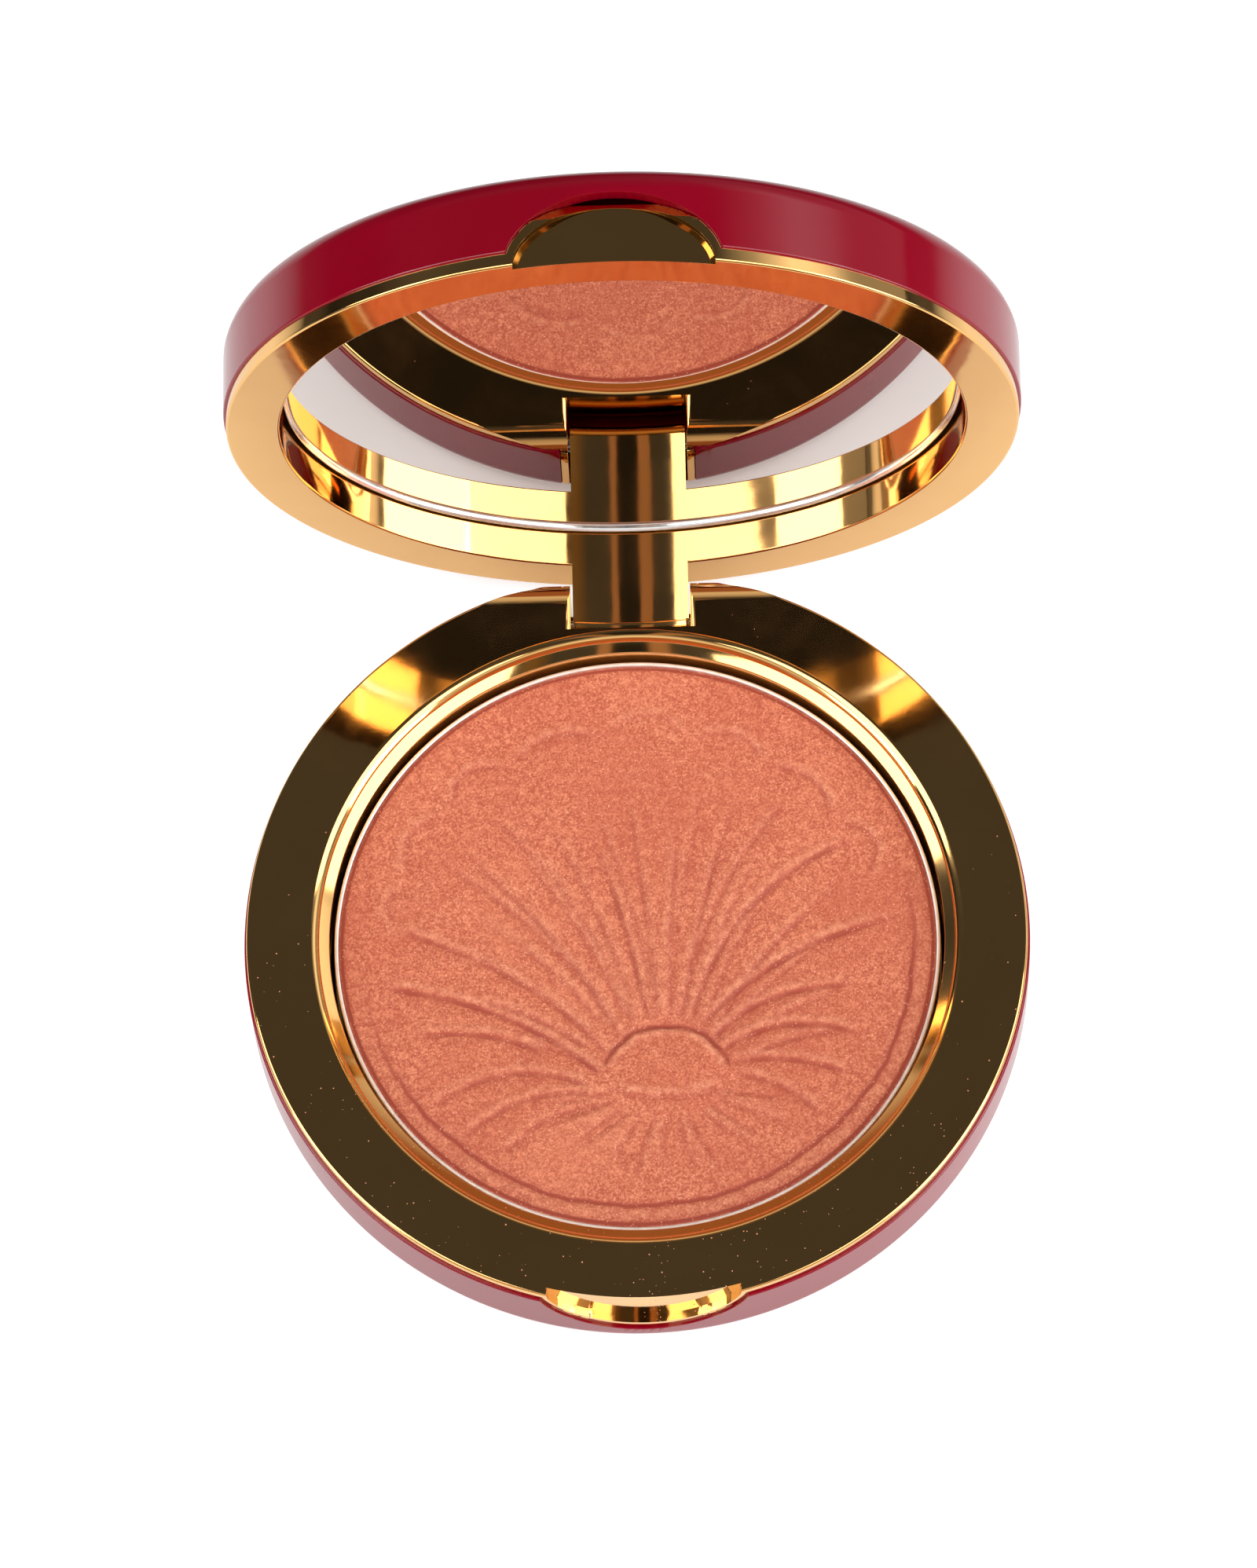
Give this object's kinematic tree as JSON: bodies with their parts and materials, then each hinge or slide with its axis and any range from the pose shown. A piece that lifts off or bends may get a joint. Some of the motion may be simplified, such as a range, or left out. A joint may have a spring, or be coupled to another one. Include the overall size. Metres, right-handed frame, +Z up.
{
  "type": "powder compact",
  "caption": "Round hinged powder compact, open: lacquered shells over a metallised frame, mirror in the lid, pressed powder pan in the base, thumb recess at the front.",
  "frame": {"origin": "centre of the base's flat underside, in the plane it rests on", "axes": "+Z up out of the powder; +Y from the thumb recess towards the hinge; +X to the right seen from the front; the lid is stored open on its stop"},
  "size_m": [0.0762, 0.0887, 0.0763],
  "materials": {
    "red_lacquer": "satin red lacquer over moulded plastic",
    "gold_metallised": "polished gold metallised plastic",
    "pan_metal": "drawn, thinly lacquered",
    "pressed_powder": "fine pressed powder with a soft shimmer",
    "mirror": "polished, ground edge",
    "steel": "ground",
    "magnet": "nickel plated",
    "adhesive": "translucent adhesive",
    "label": "satin blank label"
  },
  "bodies": {
    "base": {"base_shell": "red_lacquer", "base_frame": "gold_metallised", "pan_adhesive": "adhesive", "powder_pan": "pan_metal", "powder_cake": "pressed_powder", "base_magnets": "magnet", "base_label": "label", "hinge_pin": "steel"},
    "lid": {"lid_shell": "red_lacquer", "lid_frame": "gold_metallised", "mirror_glass": "mirror", "mirror_adhesive": "adhesive", "lid_magnets": "magnet"}
  },
  "joints": [
    {"name": "lid_hinge", "type": "hinge", "parent": "base", "child": "lid", "pos_m": [0, 0.03433, 0.00404], "axis": [-1, 0, 0], "range_deg": [-90.68, 0]}
  ]
}
